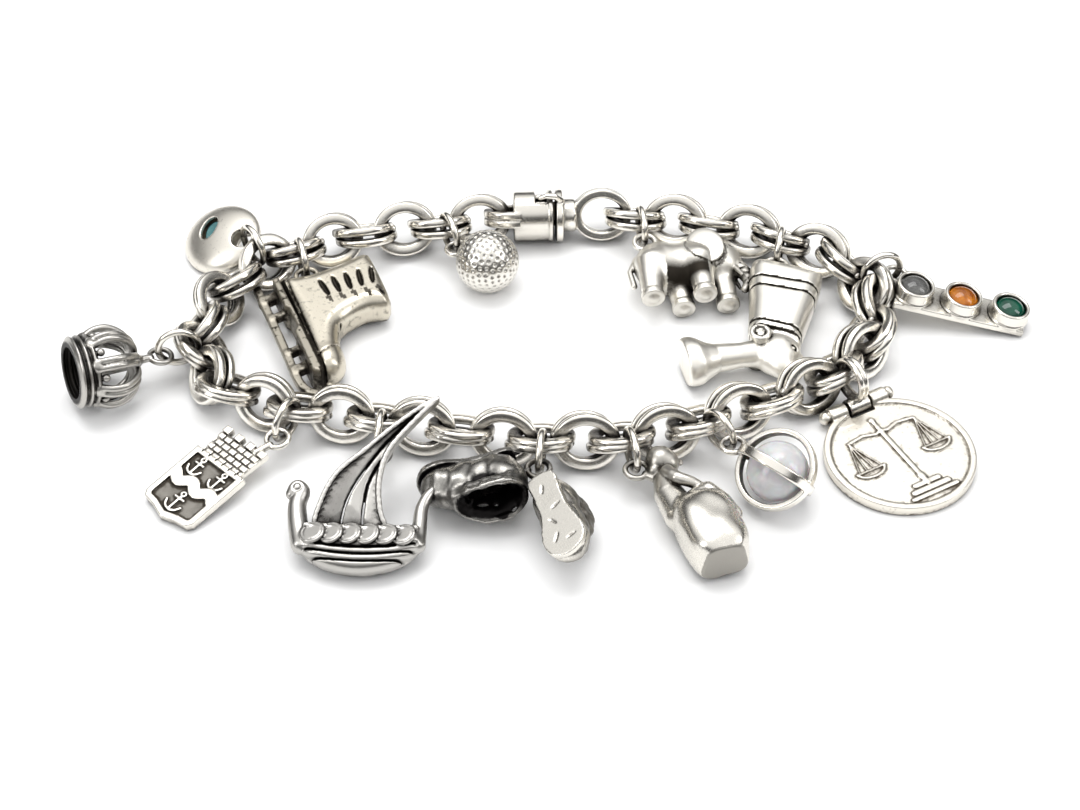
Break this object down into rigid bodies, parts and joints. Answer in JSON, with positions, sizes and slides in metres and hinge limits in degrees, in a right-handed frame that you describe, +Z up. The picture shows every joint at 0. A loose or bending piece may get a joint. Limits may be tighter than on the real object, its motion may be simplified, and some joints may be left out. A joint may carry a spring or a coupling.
{
  "type": "charm bracelet",
  "caption": "Heavy silver charm bracelet laid down in a closed loop, with double-ring links, a box clasp and assorted figural charms on jump rings.",
  "frame": {"origin": "centre of the bounding box in plan, on the surface that the bracelet lies on", "axes": "+X along the loop's longer way, to the right as seen from its front; +Y towards the clasp's side of the loop; +Z up from the surface"},
  "size_m": [0.1172, 0.0628, 0.0099],
  "materials": {
    "silver": "worn polished silver with dark recesses",
    "dark_silver": "oxidised silver, polished on its high places",
    "milky_glass": "milky glass or moonstone, polished",
    "smoky_glass": "smoky grey cabochon, polished",
    "amber_glass": "amber cabochon with inclusions, polished",
    "green_glass": "deep green cabochon, polished",
    "turquoise": "turquoise stone, satin"
  },
  "bodies": {
    "bracelet": {"link_01": "silver", "link_02": "silver", "link_03": "silver", "link_04": "silver", "link_05": "silver", "link_06": "silver", "link_07": "silver", "link_08": "silver", "link_09": "silver", "link_10": "silver", "link_11": "silver", "link_12": "silver", "link_13": "silver", "link_14": "silver", "link_15": "silver", "link_16": "silver", "link_17": "silver", "link_18": "silver", "link_19": "silver", "link_20": "silver", "clasp_box": "silver", "clasp_tongue": "silver", "jump_ring_crown": "silver", "jump_ring_shield": "silver", "jump_ring_ship": "silver", "jump_ring_shoes": "silver", "jump_ring_figure": "silver", "jump_ring_orb": "silver", "jump_ring_bar": "silver", "jump_ring_bust": "silver", "jump_ring_elephant": "silver", "jump_ring_ball": "silver", "jump_ring_palette": "silver", "jump_ring_skate": "silver", "crown": "dark_silver", "shield": "silver", "ship": "dark_silver", "shoe_left": "dark_silver", "shoe_right": "dark_silver", "seated_figure": "silver", "orb_cage": "silver", "orb": "milky_glass", "bar_plate": "silver", "stone_grey": "smoky_glass", "stone_amber": "amber_glass", "stone_green": "green_glass", "bust": "silver", "elephant": "silver", "dimpled_ball": "silver", "palette_disc": "silver", "turquoise_inlay": "turquoise", "ice_skate": "dark_silver", "scales_bail": "silver"},
    "medal": {"scales_disc": "silver"}
  },
  "joints": [
    {"name": "medal_hinge", "type": "hinge", "parent": "bracelet", "child": "medal", "pos_m": [0.0358, -0.00439, 0.0013], "axis": [-0.8746, -0.4848, 0], "range_deg": [0, 50]}
  ]
}
